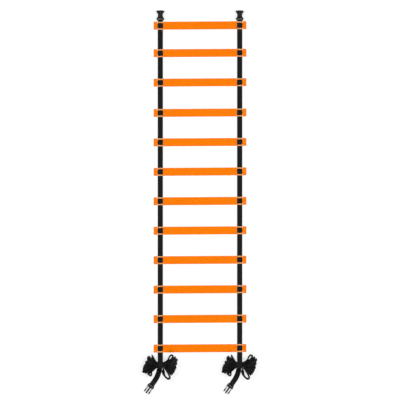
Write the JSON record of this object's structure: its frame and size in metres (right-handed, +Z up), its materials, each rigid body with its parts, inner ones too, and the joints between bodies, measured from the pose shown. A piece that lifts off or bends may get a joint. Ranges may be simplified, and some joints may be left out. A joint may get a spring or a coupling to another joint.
{
  "type": "agility ladder",
  "caption": "Flat training ladder: slotted plastic rungs that slide on two webbing straps, with side-release buckle halves and tied hanks of spare strap.",
  "frame": {"origin": "on the floor under the middle of the ladder's bounding box, as it lies flat", "axes": "+Z up from the floor, +Y along the ladder from the tied hanks to the buckle sockets, +X across it"},
  "size_m": [0.55, 1.8436, 0.0278],
  "materials": {
    "rung_plastic": "satin moulded plastic",
    "webbing": "woven polypropylene",
    "buckle_plastic": "satin moulded plastic"
  },
  "bodies": {
    "straps": {"strap_loop_left": "webbing", "strap_rail_left": "webbing", "hank_left": "webbing", "hank_wrap_left": "webbing", "strap_tail_left": "webbing", "strap_loop_right": "webbing", "strap_rail_right": "webbing", "hank_right": "webbing", "hank_wrap_right": "webbing", "strap_tail_right": "webbing"},
    "rung_01": {"rung_01": "rung_plastic"},
    "rung_02": {"rung_02": "rung_plastic"},
    "rung_03": {"rung_03": "rung_plastic"},
    "rung_04": {"rung_04": "rung_plastic"},
    "rung_05": {"rung_05": "rung_plastic"},
    "rung_06": {"rung_06": "rung_plastic"},
    "rung_07": {"rung_07": "rung_plastic"},
    "rung_08": {"rung_08": "rung_plastic"},
    "rung_09": {"rung_09": "rung_plastic"},
    "rung_10": {"rung_10": "rung_plastic"},
    "rung_11": {"rung_11": "rung_plastic"},
    "rung_12": {"rung_12": "rung_plastic"},
    "buckle_socket_left": {"buckle_socket_left": "buckle_plastic"},
    "buckle_plug_left": {"buckle_plug_left": "buckle_plastic"},
    "plug_arm_left_a": {"plug_arm_left_a": "buckle_plastic"},
    "plug_arm_left_b": {"plug_arm_left_b": "buckle_plastic"},
    "buckle_socket_right": {"buckle_socket_right": "buckle_plastic"},
    "buckle_plug_right": {"buckle_plug_right": "buckle_plastic"},
    "plug_arm_right_a": {"plug_arm_right_a": "buckle_plastic"},
    "plug_arm_right_b": {"plug_arm_right_b": "buckle_plastic"}
  },
  "joints": [
    {"name": "rung_01_slide", "type": "slide", "parent": "straps", "child": "rung_01", "axis": [0, 1, 0], "range_m": [-0.09, 0.0015]},
    {"name": "rung_02_slide", "type": "slide", "parent": "straps", "child": "rung_02", "axis": [0, 1, 0], "range_m": [-0.09, 0.09]},
    {"name": "rung_03_slide", "type": "slide", "parent": "straps", "child": "rung_03", "axis": [0, 1, 0], "range_m": [-0.09, 0.09]},
    {"name": "rung_04_slide", "type": "slide", "parent": "straps", "child": "rung_04", "axis": [0, 1, 0], "range_m": [-0.09, 0.09]},
    {"name": "rung_05_slide", "type": "slide", "parent": "straps", "child": "rung_05", "axis": [0, 1, 0], "range_m": [-0.09, 0.09]},
    {"name": "rung_06_slide", "type": "slide", "parent": "straps", "child": "rung_06", "axis": [0, 1, 0], "range_m": [-0.09, 0.09]},
    {"name": "rung_07_slide", "type": "slide", "parent": "straps", "child": "rung_07", "axis": [0, 1, 0], "range_m": [-0.09, 0.09]},
    {"name": "rung_08_slide", "type": "slide", "parent": "straps", "child": "rung_08", "axis": [0, 1, 0], "range_m": [-0.09, 0.09]},
    {"name": "rung_09_slide", "type": "slide", "parent": "straps", "child": "rung_09", "axis": [0, 1, 0], "range_m": [-0.09, 0.09]},
    {"name": "rung_10_slide", "type": "slide", "parent": "straps", "child": "rung_10", "axis": [0, 1, 0], "range_m": [-0.09, 0.09]},
    {"name": "rung_11_slide", "type": "slide", "parent": "straps", "child": "rung_11", "axis": [0, 1, 0], "range_m": [-0.09, 0.09]},
    {"name": "rung_12_slide", "type": "slide", "parent": "straps", "child": "rung_12", "axis": [0, 1, 0], "range_m": [-0.006, 0.09]},
    {"name": "socket_left_swing", "type": "hinge", "parent": "straps", "child": "buckle_socket_left", "pos_m": [-0.1905, 0.8765, 0.006], "axis": [1, 0, 0], "range_deg": [0, 110]},
    {"name": "plug_left_swing", "type": "hinge", "parent": "straps", "child": "buckle_plug_left", "pos_m": [-0.2325, -0.877, 0.00355], "axis": [-0.8192, 0.5736, 0], "range_deg": [0, 100]},
    {"name": "plug_arm_left_a_squeeze", "type": "hinge", "parent": "buckle_plug_left", "child": "plug_arm_left_a", "pos_m": [-0.2495, -0.88036, 0.00355], "axis": [0, 0, 1], "range_deg": [0, 8], "stiffness_Nm_per_rad": 2},
    {"name": "plug_arm_left_b_squeeze", "type": "hinge", "parent": "buckle_plug_left", "child": "plug_arm_left_b", "pos_m": [-0.22984, -0.89412, 0.00355], "axis": [0, 0, -1], "range_deg": [0, 8], "stiffness_Nm_per_rad": 2},
    {"name": "socket_right_swing", "type": "hinge", "parent": "straps", "child": "buckle_socket_right", "pos_m": [0.1905, 0.8765, 0.006], "axis": [1, 0, 0], "range_deg": [0, 110]},
    {"name": "plug_right_swing", "type": "hinge", "parent": "straps", "child": "buckle_plug_right", "pos_m": [0.1485, -0.877, 0.00355], "axis": [-0.8192, 0.5736, 0], "range_deg": [0, 100]},
    {"name": "plug_arm_right_a_squeeze", "type": "hinge", "parent": "buckle_plug_right", "child": "plug_arm_right_a", "pos_m": [0.1315, -0.88036, 0.00355], "axis": [0, 0, 1], "range_deg": [0, 8], "stiffness_Nm_per_rad": 2},
    {"name": "plug_arm_right_b_squeeze", "type": "hinge", "parent": "buckle_plug_right", "child": "plug_arm_right_b", "pos_m": [0.15116, -0.89412, 0.00355], "axis": [0, 0, -1], "range_deg": [0, 8], "stiffness_Nm_per_rad": 2}
  ]
}
